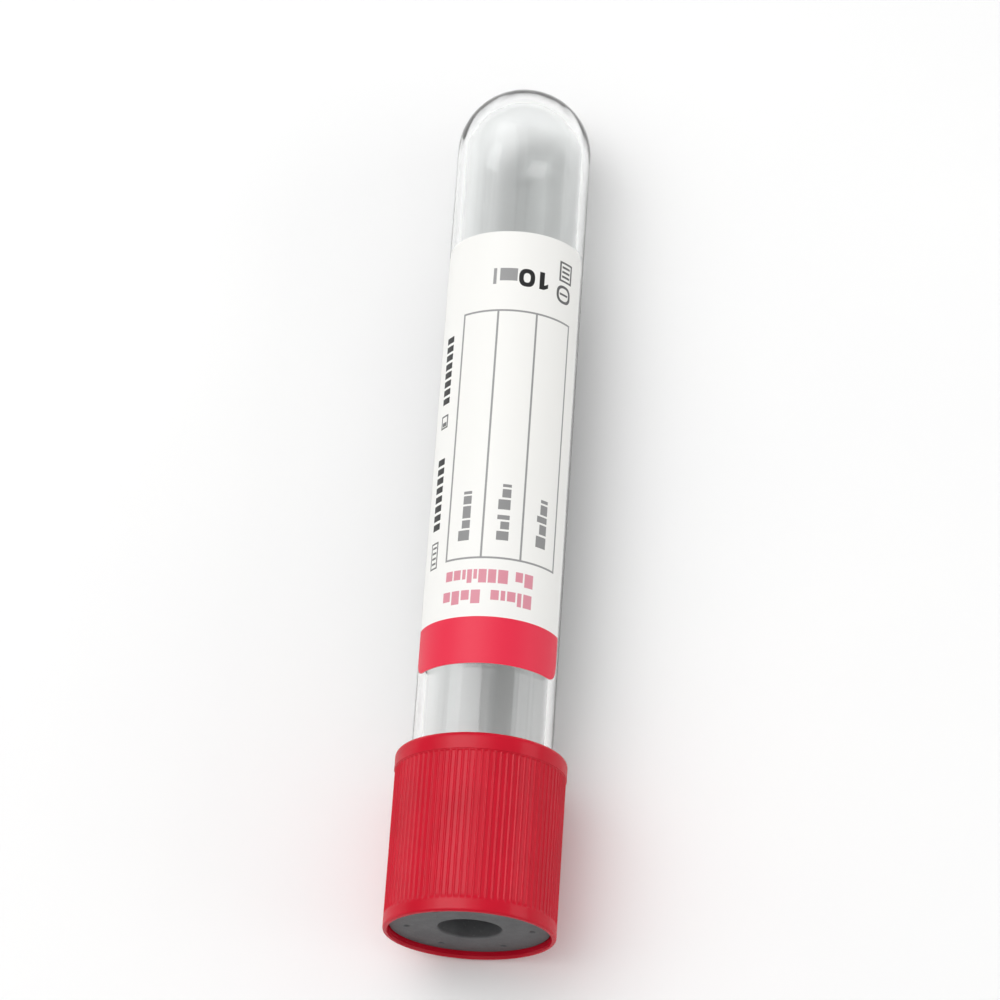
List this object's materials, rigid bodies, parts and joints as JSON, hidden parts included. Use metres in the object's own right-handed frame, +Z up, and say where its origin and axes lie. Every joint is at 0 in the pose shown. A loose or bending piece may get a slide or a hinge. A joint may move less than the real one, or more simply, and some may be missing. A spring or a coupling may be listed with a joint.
{
  "type": "blood collection tube",
  "caption": "Round-bottomed glass blood collection tube with a ribbed red cap over a grey rubber stopper and a paper label round its wall, lying on its side.",
  "frame": {"origin": "on the surface that the tube lies on, under the middle of its bounding box", "axes": "+Z up; +Y along the tube from the cap towards the round bottom, which lies about 1.3 degrees lower; +X to the right when seen from the cap with the label on top"},
  "size_m": [0.0196, 0.1056, 0.0198],
  "materials": {
    "glass": "clear, polished",
    "rubber": "moulded, dull",
    "cap_plastic": "moulded, glossy, finely ribbed",
    "label_paper": "coated, semi-gloss, printed"
  },
  "bodies": {
    "tube": {"glass_tube": "glass", "label": "label_paper"},
    "closure": {"cap": "cap_plastic", "rubber_stopper": "rubber"}
  },
  "joints": [
    {"name": "closure_pull", "type": "slide", "parent": "tube", "child": "closure", "axis": [0, -0.9997, 0.0226], "range_m": [0, 0.035]}
  ]
}
